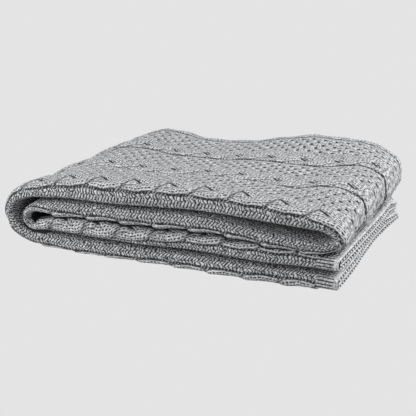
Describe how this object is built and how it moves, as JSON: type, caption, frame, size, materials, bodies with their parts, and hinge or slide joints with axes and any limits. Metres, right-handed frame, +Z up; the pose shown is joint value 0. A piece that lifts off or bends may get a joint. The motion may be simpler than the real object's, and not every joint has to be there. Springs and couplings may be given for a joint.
{
  "type": "folded chunky cable-knit throw blanket",
  "caption": "Chunky cable-knit throw, folded to quarters both ways into a soft flat stack with rounded turns and square ribbed ends.",
  "frame": {"origin": "middle of the underside of the folded stack, on the surface that it lies on", "axes": "+X towards the two square ribbed ends, -X towards the turned-over ends, -Y towards the rounded long edge, +Z up"},
  "size_m": [0.4518, 0.3084, 0.1085],
  "materials": {
    "knit": "matte marled wool knit"
  },
  "bodies": {
    "root": {"blanket": "knit"}
  },
  "joints": []
}
